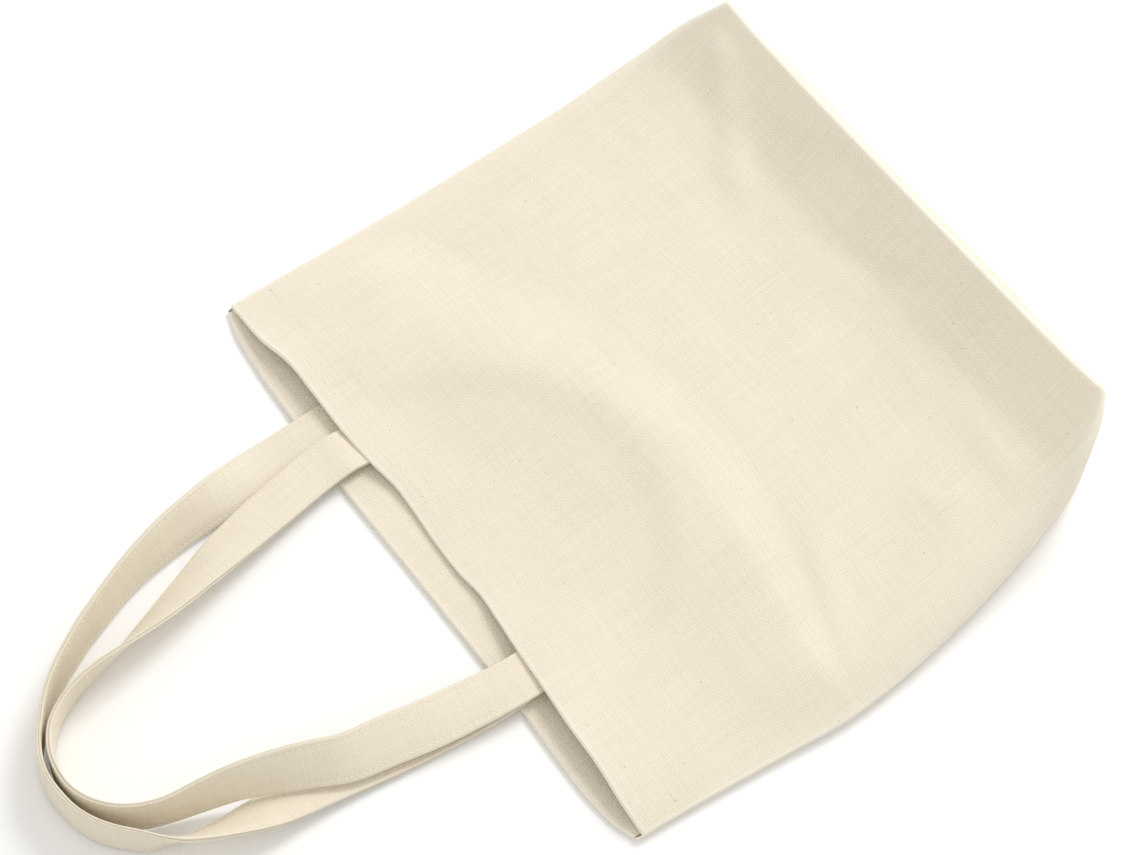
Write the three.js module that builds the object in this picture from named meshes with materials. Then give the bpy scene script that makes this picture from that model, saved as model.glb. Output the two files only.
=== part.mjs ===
// A canvas tote bag with a boxed bottom and two folded strap handles, lying on its back panel.
// Millimetres. +X runs along the mouth, +Y from the mouth to the bottom, +Z is up.
// The origin is the middle of the back panel's flat outer face, which rests on a surface.
import * as THREE from "three";

// Driving dimensions.
const CLOTH = 1.0; // canvas thickness
const GAP = 0.35; // clearance between pieces that lie against each other
const MOUTH_Y = -165; // where the straight line between the mouth's two corners lies
const BOTTOM_DEPTH = 72; // height of the standing bottom while the bag lies down
const BACK_LENGTH = 321; // mouth line to the fold between back panel and bottom
const FRONT_LENGTH = 317; // mouth line to the fold between front panel and bottom
const BOTTOM_HALF = 155; // half the length of the boxed bottom
const BOTTOM_BELLY = 11; // how far the middle of the bottom swells outward
const FRONT_LIP_SAG = 3; // how far the middle of the front fold hangs back towards the mouth
const KNEE = 112; // distance from the mouth at which the side gussets open
const HEM_WIDTH = 25;
const HEM_SPAN = 0.9; // share of the mouth's half width that a hem covers, clear of the side seams
const FRONT_MOUTH_DIP = 11; // how far the middle of the front mouth edge draws back
const BACK_MOUTH_BOW = 9; // how far the back mouth edge stands forward of the corners
const MOUTH_GAPE = 9.5; // lift of the front mouth edge at each handle
const GAPE_REACH = 45; // distance over which that lift dies out
const STRAP_WIDTH = 26;
const STRAP = 3.0; // thickness of a folded strap
const END_LENGTH = 34; // sewn length of each handle end, past the mouth edge
const SEAM_WIDTH = 9; // seam allowance left inside the bag
const SEAM = 2.0; // thickness of the pressed seam allowance
const SEAM_CLEARANCE = 1.2; // between the bottom's inner face and its seam allowance
const THREAD = 0.5;
const SEAM_RAISE = 0.52; // share of the bottom's height at which its two cloths are joined
const SEAM_SIDE_INSET = 1.5; // between a corner seam and the side of the bottom
const THREAD_INSET = 2.5; // between a seam allowance's raw edge and its stitches
const CORNER_MARGIN = 7; // length of boxed corner left clear above and below its seam
const TACK = 19; // side of the square sewn on each handle end
const FRONT_END_START = 8.5; // from the mouth line to where the front handle's sewn ends begin
const BACK_END_START = -8;
const ROW_INSET = 3; // distance from a strap's edge to its row of stitches
const FRONT_LEGS = { left: -74, right: 87 }; // where the front handle's legs cross the mouth
const BACK_LEGS = { left: -94.5, right: 86 };

// Sizes that change from the mouth to the bottom: [distance from the mouth line, value].
const HEIGHT = [[0, 5.4], [60, 13], [115, 19], [165, 24], [220, 30], [265, 38], [295, 52], [318, 72]];
const EDGE_HEIGHT = [[0, 5.4], [112, 8], [160, 16], [220, 27], [270, 42], [305, 63], [318, 72]];
const TOP_RIGHT = [[0, 187], [112, 197], [180, 190], [240, 181], [290, 168], [318, 155]];
const TOP_LEFT = [[0, 187], [112, 186], [180, 183], [240, 176], [290, 164], [318, 155]];
const SIDE_RIGHT = [[0, 188.5], [82, 196.5], [127, 201], [160, 200], [228, 191], [303, 168], [318, 155]];
const SIDE_LEFT = [[0, 189], [103, 188], [160, 187], [220, 185], [270, 178], [300, 168], [318, 155]];
const FLOOR_RIGHT = [[0, 187], [112, 196], [180, 189], [240, 178], [290, 163], [321, 155]];
const FLOOR_LEFT = [[0, 187], [112, 185], [180, 182], [240, 173], [290, 161], [321, 155]];

// Handle centre lines: x, distance from the mouth line, height, and tilt in degrees.
// A positive tilt raises the inner edge of the loop, a negative one the outer edge.
const FRONT_HANDLE_PATH = [
  [FRONT_LEGS.left, 4, 8.8, 0],
  [-73.5, -14, 7.6, 0],
  [-69.5, -40, 7.6, 2],
  [-64.5, -66, 8.4, 8],
  [-60.5, -84, 9.2, 17],
  [-56, -100, 9.8, 29],
  [-50.5, -120, 10.9, 41],
  [-46, -138, 12.2, 54],
  [-42.5, -154, 13.4, 67],
  [-40, -168, 14, 76],
  [-36.5, -182.5, 14.2, 80],
  [-30.5, -193.5, 14.2, 82],
  [-22.5, -202, 14.2, 84],
  [-12.5, -208.5, 14.2, 86],
  [0, -211.6, 14.2, 86],
  [12, -211, 14.2, 86],
  [22, -207, 14.2, 86],
  [31, -200.5, 14.2, 86],
  [40, -190, 14.4, 85],
  [45, -179, 14.6, 84],
  [49, -163, 16, 78],
  [54, -145, 18.3, 70],
  [60, -128, 18.4, 60],
  [67, -111, 17.8, 50],
  [74, -95, 16.6, 42],
  [78, -71, 13.6, 30],
  [81.5, -50, 11.2, 18],
  [84.5, -27, 9.8, 8],
  [FRONT_LEGS.right, 3, 8.8, 0],
];
const BACK_HANDLE_PATH = [
  [BACK_LEGS.left, -12, 4.1, 0],
  [-93.5, -36, 3.8, -8],
  [-90.5, -56, 7.5, -28],
  [-88, -71, 11, -46],
  [-86, -85, 12.3, -56],
  [-83.8, -99, 13.1, -63],
  [-80.5, -113, 13.8, -70],
  [-75.8, -129, 14.2, -77],
  [-71.2, -141, 14.3, -80],
  [-66, -153, 14.3, -82],
  [-60.5, -165, 14.3, -84],
  [-54, -176.5, 14.2, -86],
  [-48.8, -185, 14.2, -88],
  [-42.8, -193, 14.2, -90],
  [-36.6, -200, 14.2, -90],
  [-29.8, -207, 14.2, -91],
  [-19, -215, 14.3, -92],
  [-3, -220.4, 14.3, -92],
  [11, -220, 14.3, -92],
  [24, -217.2, 14.3, -92],
  [34.6, -212.2, 14.3, -92],
  [43.6, -205, 14.3, -91],
  [51.5, -196.5, 14.3, -90],
  [57.5, -188, 14.2, -77],
  [62.5, -179.5, 13.6, -66],
  [66.3, -169, 12.4, -56],
  [69, -157, 10.7, -44],
  [70.8, -145, 8.3, -31],
  [72, -132, 5.8, -19],
  [72.8, -120, 4.3, -12],
  [74, -108, 3.5, -8],
  [76.5, -90, 2.8, -4],
  [79.7, -70, 2.4, -2],
  [82.3, -50, 2.2, 0],
  [84.3, -32, 2.4, 0],
  [BACK_LEGS.right, -12, 4.1, 0],
];

const group = new THREE.Group();
const finishes = {
  canvas: new THREE.MeshStandardMaterial({ color: 0xf0e8d6, roughness: 0.95, metalness: 0 }),
  hem: new THREE.MeshStandardMaterial({ color: 0xe9dfc9, roughness: 0.95, metalness: 0 }),
  strap: new THREE.MeshStandardMaterial({ color: 0xf3ebd8, roughness: 0.92, metalness: 0 }),
  thread: new THREE.MeshStandardMaterial({ color: 0xe6dcc4, roughness: 0.8, metalness: 0 }),
};

function addPart(name, geometry, finish) {
  const mesh = new THREE.Mesh(geometry, finishes[finish]);
  mesh.name = name;
  mesh.position.y = MOUTH_Y;
  group.add(mesh);
}

// A smooth value between the listed stations.
function along(stations, distance) {
  const points = stations.map(([at, value]) => new THREE.Vector2(at, value));
  const last = points.length - 1;
  if (distance <= points[0].x) return points[0].y;
  if (distance >= points[last].x) return points[last].y;
  const i = points.findIndex((p) => p.x > distance) - 1;
  const span = points[i + 1].x - points[i].x;
  const t = (distance - points[i].x) / span;
  const slope = (k) => {
    const before = points[Math.max(k - 1, 0)];
    const after = points[Math.min(k + 1, last)];
    return ((after.y - before.y) / (after.x - before.x)) * span;
  };
  const t2 = t * t;
  const t3 = t2 * t;
  return (
    (2 * t3 - 3 * t2 + 1) * points[i].y +
    (t3 - 2 * t2 + t) * slope(i) +
    (3 * t2 - 2 * t3) * points[i + 1].y +
    (t3 - t2) * slope(i + 1)
  );
}

// A point across the bag: share -1 is the left edge, +1 the right edge.
function across(share, left, right, distance) {
  return THREE.MathUtils.lerp(-along(left, distance), along(right, distance), (share + 1) / 2);
}

function shareAt(x, distance) {
  const left = along(TOP_LEFT, distance);
  const right = along(TOP_RIGHT, distance);
  return (2 * (x + left)) / (left + right) - 1;
}

function frontMouth(share) {
  return FRONT_MOUTH_DIP * (1 - Math.abs(share) ** 1.6);
}

function backMouth(share) {
  return -BACK_MOUTH_BOW * (1 - share ** 8);
}

function frontFold(share) {
  return FRONT_LENGTH - FRONT_LIP_SAG * (1 - share ** 4);
}

// Height of the front panel's outer face: nearly flat at the mouth, boxed at the bottom, and
// lifted beside the middle of the mouth where the two handles hold it open.
function frontTop(share, distance) {
  const edge = along(EDGE_HEIGHT, distance);
  const middle = along(HEIGHT, distance);
  const squareness = 2.6 + (2.4 * distance) / FRONT_LENGTH;
  const crown = (middle - edge) * (1 - Math.abs(share) ** squareness);
  const gape = MOUTH_GAPE * Math.sin(Math.PI * Math.abs(share)) * Math.exp(-distance / GAPE_REACH);
  return edge + crown + gape;
}

// A closed solid between two sheets of points, each given by a function of (u, v) in 0..1.
function shell(columns, rows, outer, inner) {
  const positions = [];
  const index = [];
  const stride = columns + 1;
  const sheet = stride * (rows + 1);
  for (const side of [outer, inner]) {
    for (let r = 0; r <= rows; r += 1) {
      for (let c = 0; c <= columns; c += 1) {
        positions.push(...side(c / columns, r / rows));
      }
    }
  }
  const quad = (a, b, c, d) => index.push(a, b, c, a, c, d);
  for (let r = 0; r < rows; r += 1) {
    for (let c = 0; c < columns; c += 1) {
      const at = r * stride + c;
      quad(at, at + 1, at + 1 + stride, at + stride);
      quad(sheet + at, sheet + at + stride, sheet + at + 1 + stride, sheet + at + 1);
    }
  }
  const rim = [];
  for (let c = 0; c < columns; c += 1) rim.push(c);
  for (let r = 0; r < rows; r += 1) rim.push(r * stride + columns);
  for (let c = columns; c > 0; c -= 1) rim.push(rows * stride + c);
  for (let r = rows; r > 0; r -= 1) rim.push(r * stride);
  rim.forEach((from, i) => {
    const to = rim[(i + 1) % rim.length];
    quad(from, sheet + from, sheet + to, to);
  });
  const geometry = new THREE.BufferGeometry();
  geometry.setAttribute("position", new THREE.Float32BufferAttribute(positions, 3));
  geometry.setIndex(index);
  geometry.computeVertexNormals();
  return geometry;
}

// A sheet of cloth lying between two heights over a patch of the bag.
function layer(columns, rows, place, top, thickness) {
  const face = (lowered) => (u, v) => {
    const [x, distance] = place(u, v);
    return [x, distance, top(x, distance) - lowered];
  };
  return shell(columns, rows, face(0), face(thickness));
}

// Samples a handle's centre line with its tilt, evenly along its length.
function samplePath(path, steps) {
  const line = new THREE.CatmullRomCurve3(path.map(([x, y, z]) => new THREE.Vector3(x, y, z)));
  line.arcLengthDivisions = 600;
  const up = new THREE.Vector3(0, 0, 1);
  return Array.from({ length: steps + 1 }, (_, i) => {
    const t = line.getUtoTmapping(i / steps);
    const at = t * (path.length - 1);
    const k = Math.min(Math.floor(at), path.length - 2);
    const tilt = THREE.MathUtils.lerp(path[k][3], path[k + 1][3], at - k);
    const angle = THREE.MathUtils.degToRad(tilt);
    const forward = line.getTangent(t);
    const level = new THREE.Vector3().crossVectors(up, forward).normalize();
    const lift = new THREE.Vector3().crossVectors(forward, level).normalize();
    const inward = level.clone().multiplyScalar(Math.cos(angle)).addScaledVector(lift, Math.sin(angle));
    const faceUp = new THREE.Vector3().crossVectors(forward, inward).normalize();
    return { point: line.getPoint(t), inward, faceUp };
  });
}

// A bar with a flat rectangular section, offset from a sampled centre line.
function sweptBar(samples, width, thickness, inset, raise) {
  const place = (height) => (u, v) => {
    const { point, inward, faceUp } = samples[Math.round(v * (samples.length - 1))];
    const at = point.clone();
    at.addScaledVector(inward, inset + width * (0.5 - u));
    at.addScaledVector(faceUp, raise + height);
    return at.toArray();
  };
  return shell(1, samples.length - 1, place(thickness / 2), place(-thickness / 2));
}

// --- Cloth of the bag -------------------------------------------------------------------------

function addFrontPanel() {
  const place = (u, v) => {
    const share = 2 * u - 1;
    const distance = THREE.MathUtils.lerp(frontMouth(share), frontFold(share), v);
    return [across(share, TOP_LEFT, TOP_RIGHT, distance), distance];
  };
  const top = (x, distance) => frontTop(shareAt(x, distance), distance);
  addPart("front_panel", layer(20, 18, place, top, CLOTH), "canvas");
}

function addBackPanel() {
  const outline = [];
  const mouthSteps = 12;
  for (let i = 0; i <= mouthSteps; i += 1) {
    const share = (2 * i) / mouthSteps - 1;
    outline.push([across(share, FLOOR_LEFT, FLOOR_RIGHT, 0), backMouth(share)]);
  }
  const sideSteps = 12;
  const edge = (side, i) => {
    const distance = (BACK_LENGTH * i) / sideSteps;
    const half = along(side > 0 ? FLOOR_RIGHT : FLOOR_LEFT, distance);
    return [side * half, distance];
  };
  for (let i = 1; i <= sideSteps; i += 1) outline.push(edge(1, i));
  for (let i = sideSteps; i > 0; i -= 1) outline.push(edge(-1, i));
  const shape = new THREE.Shape(outline.map(([x, y]) => new THREE.Vector2(x, y)));
  const sheet = new THREE.ExtrudeGeometry(shape, { depth: CLOTH, bevelEnabled: false });
  addPart("back_panel", sheet, "canvas");
}

// The bottom stands between the two folds and swells outward in the middle.
function bottomPoint(u, v, outward) {
  const share = 1 - 2 * u;
  const fold = frontFold(share) + GAP + 0.6;
  const top = along(HEIGHT, FRONT_LENGTH) - 0.4;
  const low = BACK_LENGTH + GAP;
  const belly = BOTTOM_BELLY * (1 - share ** 6) * Math.sin(Math.PI * v);
  const distance = THREE.MathUtils.lerp(low, fold, v) + belly + outward;
  return [share * (BOTTOM_HALF - GAP), distance, THREE.MathUtils.lerp(0.1, top, v)];
}

function addBottom() {
  const outer = (u, v) => bottomPoint(u, v, CLOTH);
  const inner = (u, v) => bottomPoint(u, v, 0);
  addPart("bottom_gusset", shell(16, 8, outer, inner), "canvas");
}

// A gusset stands between the floor edge and the front panel's edge, and swells outward.
function gussetPoint(side, distance, v, outward) {
  const floor = along(side > 0 ? FLOOR_RIGHT : FLOOR_LEFT, distance) + GAP;
  const top = along(side > 0 ? TOP_RIGHT : TOP_LEFT, distance) + GAP;
  const swell = along(side > 0 ? SIDE_RIGHT : SIDE_LEFT, distance) - Math.max(floor, top);
  const bulge = Math.max(swell, 0) * Math.sin(Math.PI * v);
  const x = THREE.MathUtils.lerp(floor, top, v) + bulge + outward;
  return [side * x, distance, THREE.MathUtils.lerp(0.1, along(EDGE_HEIGHT, distance), v)];
}

function addGusset(name, side) {
  const end = BACK_LENGTH - 5;
  const place = (outward) => (u, v) => {
    const from = side > 0 ? KNEE : end;
    const to = side > 0 ? end : KNEE;
    return gussetPoint(side, THREE.MathUtils.lerp(from, to, u), v, outward);
  };
  addPart(name, shell(14, 5, place(CLOTH), place(0)), "canvas");
}

// --- Seams and hems inside the bag --------------------------------------------------------------

// The side seam's allowance: between the panels near the mouth, half way up the gusset below.
function addSideSeam(side) {
  const name = side > 0 ? "right" : "left";
  const tops = side > 0 ? TOP_RIGHT : TOP_LEFT;
  const start = 5;
  const end = 296;
  const middle = (distance) => Math.max(along(EDGE_HEIGHT, distance) / 2, 2.7);
  const edgeAt = (distance) => {
    const share = THREE.MathUtils.smoothstep(distance, KNEE, KNEE + 50);
    const floors = side > 0 ? FLOOR_RIGHT : FLOOR_LEFT;
    const inGusset = Math.min(along(tops, distance), along(floors, distance));
    return THREE.MathUtils.lerp(along(tops, distance) - 1, inGusset - 0.5, share);
  };
  const place = (u, v) => {
    const distance = THREE.MathUtils.lerp(start, end, v);
    return [side * (edgeAt(distance) - SEAM_WIDTH * (side > 0 ? 1 - u : u)), distance];
  };
  const top = (x, distance) => middle(distance) + SEAM / 2 - 0.25;
  addPart(`${name}_side_seam`, layer(1, 16, place, top, SEAM), "hem");
  const row = (u, v) => {
    const distance = THREE.MathUtils.lerp(start + 2, end - 2, v);
    return [side * (edgeAt(distance) - 2 - THREAD * (side > 0 ? 1 - u : u)), distance];
  };
  const rowTop = (x, distance) => top(x, distance) + GAP + THREAD;
  addPart(`${name}_side_stitching`, layer(1, 16, row, rowTop, THREAD), "thread");
}

function addBottomSeam() {
  const reach = 0.9; // share of the bottom's length
  const inside = (u, v, back) => {
    const [x, distance] = bottomPoint(0.5 + (u - 0.5) * reach, SEAM_RAISE, 0);
    return [-x, distance - SEAM_CLEARANCE - back - SEAM_WIDTH * (1 - v)];
  };
  const height = BOTTOM_DEPTH * SEAM_RAISE;
  const seam = (u, v) => inside(u, v, 0);
  addPart("bottom_seam", layer(14, 1, seam, () => height, SEAM), "hem");
  const row = (u, v) => {
    const [x, distance] = inside(u, 1, THREAD_INSET);
    return [x, distance - THREAD * (1 - v)];
  };
  const above = () => height + GAP + THREAD;
  addPart("bottom_seam_stitching", layer(14, 1, row, above, THREAD), "thread");
}

// The short seam across each boxed corner, pressed flat against the inside of the bottom.
function addCornerSeam(side) {
  const name = side > 0 ? "right" : "left";
  const height = BOTTOM_DEPTH - 2 * CORNER_MARGIN;
  const edge = BOTTOM_HALF - SEAM_SIDE_INSET;
  const place = FRONT_LENGTH - 1.5;
  const middle = height / 2 + CORNER_MARGIN - 3;
  const bar = new THREE.BoxGeometry(SEAM_WIDTH, SEAM, height);
  bar.translate(side * (edge - SEAM_WIDTH / 2), place, middle);
  addPart(`${name}_corner_seam`, bar, "hem");
  const row = new THREE.BoxGeometry(THREAD, THREAD, height - 4);
  const behind = place - SEAM / 2 - GAP - THREAD / 2;
  row.translate(side * (edge - THREAD_INSET), behind, middle);
  addPart(`${name}_corner_stitching`, row, "thread");
}

function frontLayerTop(lowered) {
  return (x, distance) => frontTop(shareAt(x, distance), distance) - lowered;
}

const FRONT_HEM_DROP = CLOTH + GAP;
const FRONT_END_DROP = FRONT_HEM_DROP + CLOTH + GAP;
const BACK_HEM_TOP = CLOTH + GAP + CLOTH;
const BACK_END_TOP = BACK_HEM_TOP + GAP + STRAP;

function addHems() {
  const band = (mouth, start, width, lefts, rights) => (u, v) => {
    const share = (2 * u - 1) * HEM_SPAN;
    const distance = mouth(share) + start + width * v;
    return [across(share, lefts, rights, distance), distance];
  };
  const frontBand = band(frontMouth, 0.3, HEM_WIDTH, TOP_LEFT, TOP_RIGHT);
  addPart("front_mouth_hem", layer(20, 2, frontBand, frontLayerTop(FRONT_HEM_DROP), CLOTH), "hem");
  const backBand = band(backMouth, 0.3, HEM_WIDTH, FLOOR_LEFT, FLOOR_RIGHT);
  addPart("back_mouth_hem", layer(16, 1, backBand, () => BACK_HEM_TOP, CLOTH), "hem");
  const frontRow = band(frontMouth, HEM_WIDTH - 3, THREAD, TOP_LEFT, TOP_RIGHT);
  const aboveFront = frontLayerTop(-GAP - THREAD);
  addPart("front_hem_stitching", layer(40, 1, frontRow, aboveFront, THREAD), "thread");
}

// --- Handles ----------------------------------------------------------------------------------

// The sewn end of a handle, lying on the inside of a hem.
function addHandleEnd(name, x, start, top) {
  const place = (u, v) => [x + STRAP_WIDTH * (u - 0.5), start + END_LENGTH * v];
  addPart(name, layer(4, 4, place, top, STRAP), "strap");
}

// A sewn square with both diagonals, lying on the surface that it fastens.
function addTack(name, x, start, top) {
  const half = TACK / 2;
  const square = new THREE.Shape([
    new THREE.Vector2(-half, -half),
    new THREE.Vector2(half, -half),
    new THREE.Vector2(half, half),
    new THREE.Vector2(-half, half),
  ]);
  const near = 1.7 * THREAD;
  const far = half - THREAD;
  for (let quarter = 0; quarter < 4; quarter += 1) {
    const turn = (quarter * Math.PI) / 2;
    const corner = (a, b) => new THREE.Vector2(a, b).rotateAround(new THREE.Vector2(), turn);
    const spread = far - near;
    square.holes.push(new THREE.Path([corner(near, 0), corner(far, -spread), corner(far, spread)]));
  }
  const frame = new THREE.ExtrudeGeometry(square, { depth: THREAD, bevelEnabled: false });
  frame.translate(x, start + half, 0);
  const points = frame.attributes.position;
  for (let i = 0; i < points.count; i += 1) {
    points.setZ(i, points.getZ(i) + top(points.getX(i), points.getY(i)));
  }
  addPart(name, frame, "thread");
}

function addHandle(name, path) {
  const samples = samplePath(path, 66);
  addPart(name, sweptBar(samples, STRAP_WIDTH, STRAP, 0, 0), "strap");
  const rowSamples = samples.slice(1, -1);
  const raise = (STRAP + THREAD) / 2 + GAP + 0.1;
  const inset = STRAP_WIDTH / 2 - ROW_INSET;
  const inner = sweptBar(rowSamples, THREAD, THREAD, inset, raise);
  const outer = sweptBar(rowSamples, THREAD, THREAD, -inset, raise);
  addPart(`${name}_inner_stitching`, inner, "thread");
  addPart(`${name}_outer_stitching`, outer, "thread");
}

addFrontPanel();
addBackPanel();
addBottom();
addGusset("left_gusset", -1);
addGusset("right_gusset", 1);
addSideSeam(-1);
addSideSeam(1);
addBottomSeam();
addCornerSeam(-1);
addCornerSeam(1);
addHems();
addHandle("front_handle", FRONT_HANDLE_PATH);
addHandle("back_handle", BACK_HANDLE_PATH);
for (const side of ["left", "right"]) {
  const underHem = frontLayerTop(FRONT_END_DROP);
  addHandleEnd(`front_handle_${side}_end`, FRONT_LEGS[side], FRONT_END_START, underHem);
  addTack(`front_handle_${side}_tack`, FRONT_LEGS[side], FRONT_END_START + 1.5, frontLayerTop(-0.6));
  addHandleEnd(`back_handle_${side}_end`, BACK_LEGS[side], BACK_END_START, () => BACK_END_TOP);
  const onStrap = () => BACK_END_TOP + GAP;
  addTack(`back_handle_${side}_tack`, BACK_LEGS[side], BACK_END_START + 12, onStrap);
}

export default group;
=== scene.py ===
import math

import bpy
import numpy as np
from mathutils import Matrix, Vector


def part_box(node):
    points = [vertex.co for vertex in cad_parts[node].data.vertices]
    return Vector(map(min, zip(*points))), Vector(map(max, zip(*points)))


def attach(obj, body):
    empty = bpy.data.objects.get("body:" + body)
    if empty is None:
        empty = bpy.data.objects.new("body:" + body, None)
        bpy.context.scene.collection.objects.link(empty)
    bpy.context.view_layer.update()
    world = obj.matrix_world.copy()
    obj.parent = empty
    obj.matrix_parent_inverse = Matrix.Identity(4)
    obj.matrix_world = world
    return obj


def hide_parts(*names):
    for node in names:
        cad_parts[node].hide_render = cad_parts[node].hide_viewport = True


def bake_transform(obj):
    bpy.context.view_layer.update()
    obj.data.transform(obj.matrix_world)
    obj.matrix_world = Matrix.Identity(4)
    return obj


# A canvas tote bag with a boxed bottom, lying on its back panel.
# Cloth shapes are worked out in millimetres as (x, distance from the mouth line, height).

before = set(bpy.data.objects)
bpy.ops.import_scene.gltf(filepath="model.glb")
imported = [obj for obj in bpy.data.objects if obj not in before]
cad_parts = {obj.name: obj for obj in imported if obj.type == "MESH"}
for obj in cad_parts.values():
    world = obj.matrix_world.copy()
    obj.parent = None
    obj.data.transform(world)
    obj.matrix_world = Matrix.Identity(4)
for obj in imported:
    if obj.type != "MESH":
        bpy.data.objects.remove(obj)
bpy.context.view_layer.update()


def corners(node):
    """The lowest and highest corners of a node, in millimetres."""
    low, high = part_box(node)
    return np.array(low) * 1000, np.array(high) * 1000


# --- Sizes --------------------------------------------------------------------------------------

MOUTH_Y = corners("front_panel")[0][1]
DEPTH = corners("front_panel")[1][2]
BACK_FOLD = corners("back_panel")[1][1] - MOUTH_Y
CLOTH = 0.95
HALF_CLOTH = CLOTH / 2

SEAM_TURN = 0.7  # radius at which a cloth edge turns into a seam
SEAM_GAP = 0.6  # from the seam line to the middle of the cloth on either side
HEM_DEPTH = 25
HEM_DROP = 1.9  # between the middles of a hem's two layers
HEM_SIDE_INSET = 2.6  # how far a hem's inner layer stays inside the side seams
HEM_REACH = 60  # distance from the mouth line within which the hems lie
STITCH_INSET = 3  # from a hem's inner edge to its row of stitches
SINK = 0.05  # how far stitches sink into the cloth
FRONT_FOLD = 318.5
FOLD_SAG = 2.5
FOLD_TURN = 2.0
CORNER_FULLNESS = 1.3  # how far each end of the bottom stands out near the front fold
FULL_CORNER = (0.45, 0.8)  # shares of the bottom's height between which that grows
BACK_FOLD_INSET = 1.5  # from the back panel's end to where its cloth starts to turn
BELLY = 12
BELLY_RISE = 1.5  # above 1, the bottom swells most in its upper half
BELLY_SPREAD = 6  # the higher, the further the swelling reaches to both ends
WALL_LEAN = 6  # outward lean of the bottom below the front fold
FOLD_ALLOWANCE = 4  # height that the two folds take from the bottom

# Sizes that change from the mouth to the bottom, each as (distance, value).
REACH_RIGHT = [
    (0, 188.5), (35, 191.5), (82, 196.5), (127, 201), (160, 199.5), (228, 190.5), (267, 182),
    (303, 169.5), (312, 163.5), (320, 155.5),
]
REACH_LEFT = [(0, 189.5), (103, 188.5), (160, 187.5), (220, 185), (270, 180), (300, 170), (320, 158.5)]
SEAM_HEIGHT = [(0, 3.4), (112, 4.6), (180, 8), (240, 14), (290, 27), (318, 35)]
EDGE_HEIGHT = [(0, 5.6), (112, 8.2), (160, 15), (220, 26), (270, 41), (305, 63.5), (320, 73)]
MIDDLE_HEIGHT = [
    (0, 4.9), (60, 11), (115, 16.5), (165, 22), (220, 27.5), (262, 35.5), (281, 42.5), (288, 47),
    (320, 70.5),
]
SHOULDER = [(0, 12), (112, 18), (180, 20), (240, 17), (280, 10), (303, 6), (320, 3)]
FIRMNESS = [(0, 2), (160, 2.2), (240, 2.6), (280, 3.6), (303, 6), (320, 8)]
SQUARENESS = [(0, 2.4), (120, 2.6), (220, 4), (290, 9), (318, 12)]
FLOOR_SHOULDER = [(0, 5), (112, 7), (180, 13), (240, 15), (290, 9), (318, 3)]

BOTTOM_RIGHT = 155.5
BOTTOM_LEFT = 158.5

# The mouth's edges, as (x, distance from the mouth line), and how far the front one stands open.
FRONT_MOUTH = [
    (-190, 3), (-180, 3), (-157, 3.8), (-139, 7), (-112, 7.6), (-85, 7.8), (-59, 10.2), (-41, 13),
    (-30, 13), (0, 11.5), (20, 11.5), (35, 13), (55, 11.5), (75, 9.5), (101, 7.8), (126, 6),
    (151, 5.2), (174, 3.4), (190, 3.5),
]
BACK_MOUTH = [
    (-190, 1), (-180, -2.5), (-150, -6.5), (-108, -8), (-58, -9), (-6, -7.7), (65, -6.4), (99, -5.8),
    (135, -6.6), (160, -6.2), (180, -3), (190, 1),
]
MOUTH_GAPE = [
    (-190, 0), (-165, 4), (-137, 8.5), (-110, 8.5), (-87, 7.2), (-59, 4), (-41, 1.2), (-28, 0),
    (20, 0), (34, 0.8), (55, 4), (78, 7), (110, 8.5), (150, 8.5), (175, 4.5), (190, 0),
]

ROWS = 150
COLUMNS = 104
TURN_COLUMNS = 4
HEM_ROWS = 9
FOLD_ROWS = 6
WALL_ROWS = 26
WALL_COLUMNS = 121
SEAM_COLUMNS = 6


# --- Small helpers ------------------------------------------------------------------------------


def along(stations, at):
    """A smooth curve through the stations."""
    places, values = np.array(stations, float).T
    slopes = np.gradient(values, places)
    at = np.clip(at, places[0], places[-1])
    k = np.clip(np.searchsorted(places, at, side="right") - 1, 0, len(places) - 2)
    span = places[k + 1] - places[k]
    t = (at - places[k]) / span
    start = (1 + 2 * t) * (1 - t) ** 2 * values[k] + t * (1 - t) ** 2 * span * slopes[k]
    end = t * t * (3 - 2 * t) * values[k + 1] + t * t * (t - 1) * span * slopes[k + 1]
    return start + end


def smooth(low, high, value):
    """0 below low, 1 above high, and smooth between."""
    t = np.clip((value - low) / (high - low), 0, 1)
    return t * t * (3 - 2 * t)


def unit(vectors):
    return vectors / np.maximum(np.linalg.norm(vectors, axis=-1, keepdims=True), 1e-9)


def to_row(points):
    """From (x, distance, height) in millimetres to metres in the row frame."""
    return (np.asarray(points, float) + (0, MOUTH_Y, 0)) / 1000


def ridge(x, distance, start, end, width, lift):
    """A soft ridge along a straight line that dies out at both ends."""
    start, end = np.array(start, float), np.array(end, float)
    run = end - start
    length = np.hypot(*run)
    share = ((x - start[0]) * run[0] + (distance - start[1]) * run[1]) / length**2
    off = ((x - start[0]) * run[1] - (distance - start[1]) * run[0]) / length
    fade = smooth(-0.25, 0.2, share) * (1 - smooth(0.7, 1.2, share))
    return lift * fade * np.exp(-((off / width) ** 2))


def mound(x, distance, centre, spread, lift):
    """A soft round rise, or a hollow where lift is negative."""
    across = (x - centre[0]) / spread[0]
    down = (distance - centre[1]) / spread[1]
    return lift * np.exp(-(across**2) - down**2)


# --- Shape of the front panel ---------------------------------------------------------------------

CREST = [(-190, 70), (-100, 84), (-50, 110), (0, 130), (50, 136), (105, 131), (200, 118)]
FOOT = [(-190, 100), (-150, 116), (-100, 140), (-50, 157), (0, 166), (55, 168), (105, 158), (200, 131)]
DISH_CENTRE = (17, 8)


def middle_x(node):
    low, high = corners(node)
    return (low[0] + high[0]) / 2


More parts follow.
